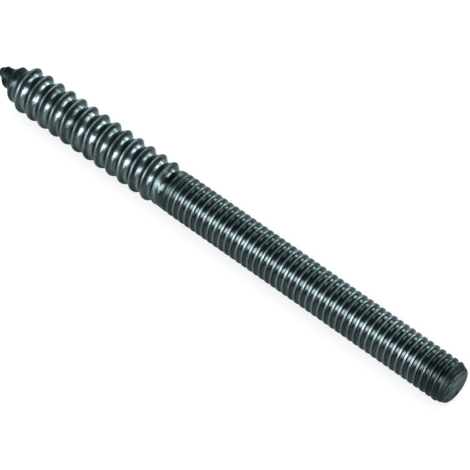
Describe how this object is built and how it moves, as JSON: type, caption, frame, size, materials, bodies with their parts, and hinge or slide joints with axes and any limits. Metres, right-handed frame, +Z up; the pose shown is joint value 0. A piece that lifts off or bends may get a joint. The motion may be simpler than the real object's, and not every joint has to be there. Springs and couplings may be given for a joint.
{
  "type": "hanger bolt",
  "caption": "Headless steel stud with a coarse wood thread and gimlet point at one end and a machine thread with a chamfered flat end at the other.",
  "frame": {"origin": "on the ground under the middle of the stud's length, where it lies", "axes": "+X along the stud from the point to the flat end, +Z up"},
  "size_m": [0.08, 0.0064, 0.0065],
  "materials": {
    "steel": "dark bright rolled steel, duller on the point and the flat end"
  },
  "bodies": {
    "root": {"hanger_bolt": "steel"}
  },
  "joints": []
}
